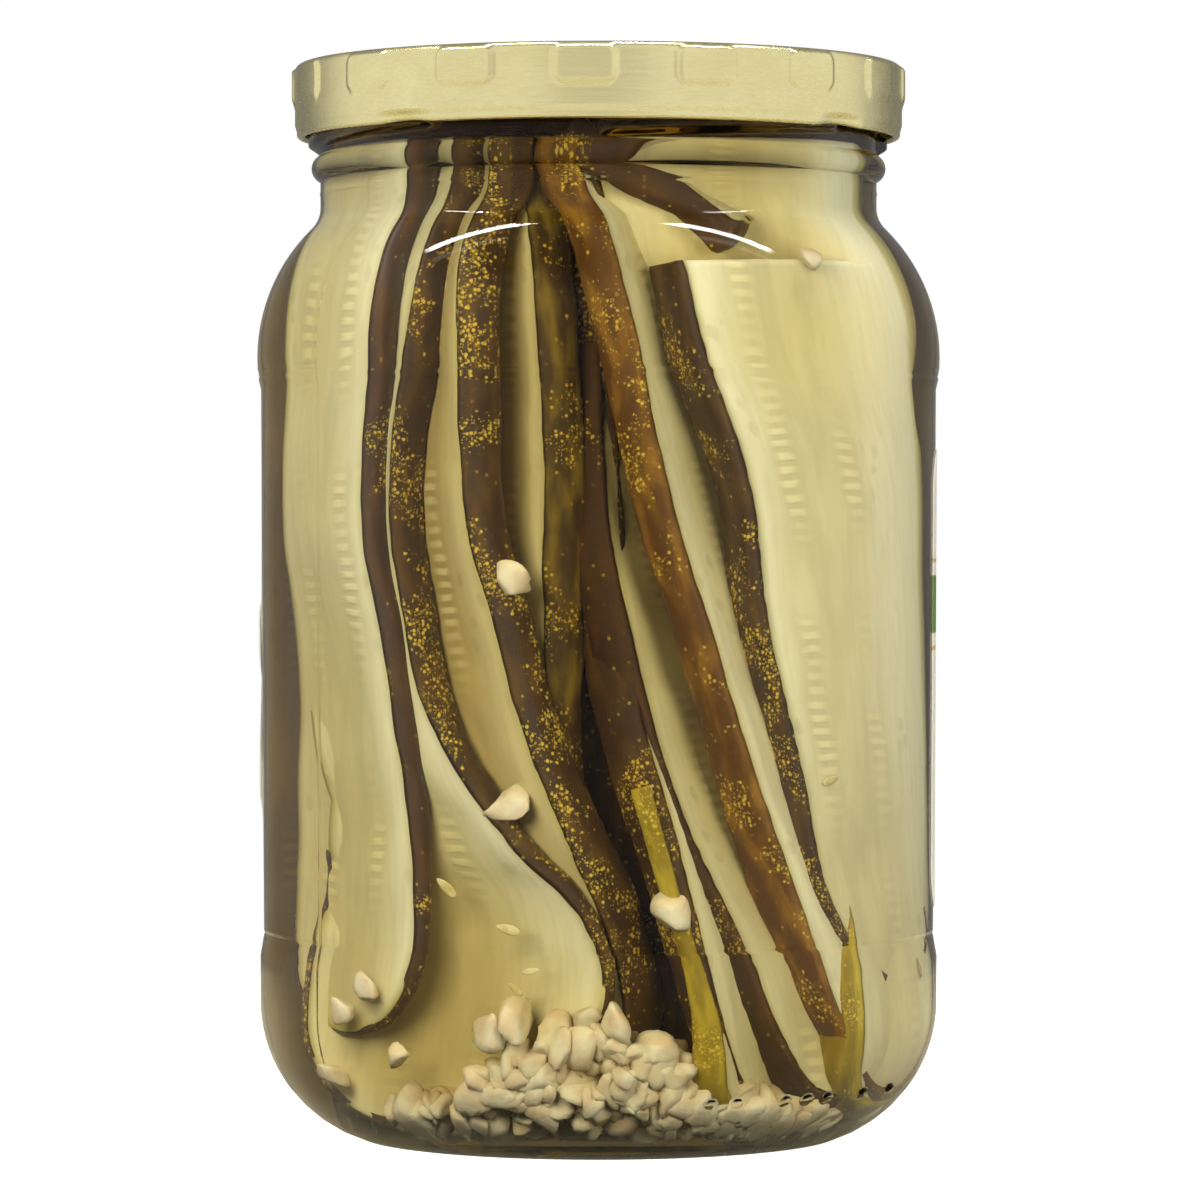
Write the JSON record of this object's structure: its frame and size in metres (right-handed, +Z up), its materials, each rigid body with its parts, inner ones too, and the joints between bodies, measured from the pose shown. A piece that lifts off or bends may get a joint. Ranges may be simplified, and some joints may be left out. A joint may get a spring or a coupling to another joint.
{
  "type": "pickle jar",
  "caption": "Round glass jar of long cucumber slices in brine, shut with a gold twist-off metal cap, with a paper label round its back.",
  "frame": {"origin": "on the jar's axis, on the plane that the foot ring stands on", "axes": "+Z up along the jar's axis; the clear front, opposite the label, faces -Y; +X is to the right of someone looking at the front"},
  "size_m": [0.091, 0.091, 0.1425],
  "materials": {
    "jar_glass": "clear flint glass, smooth and glossy",
    "cap_metal": "tinplate with a pale gold satin lacquer",
    "brine": "clear pale yellow liquid",
    "label_paper": "coated cream paper with a green band",
    "pickle_flesh": "wet translucent cream flesh with faint seeds",
    "pickle_peel": "wet dark olive brown peel with gold specks",
    "garlic": "chopped white garlic, matt and slightly translucent",
    "seed": "loose cucumber seed"
  },
  "bodies": {
    "root": {"jar": "jar_glass", "cap": "cap_metal", "brine": "brine", "label": "label_paper"}
  },
  "joints": []
}
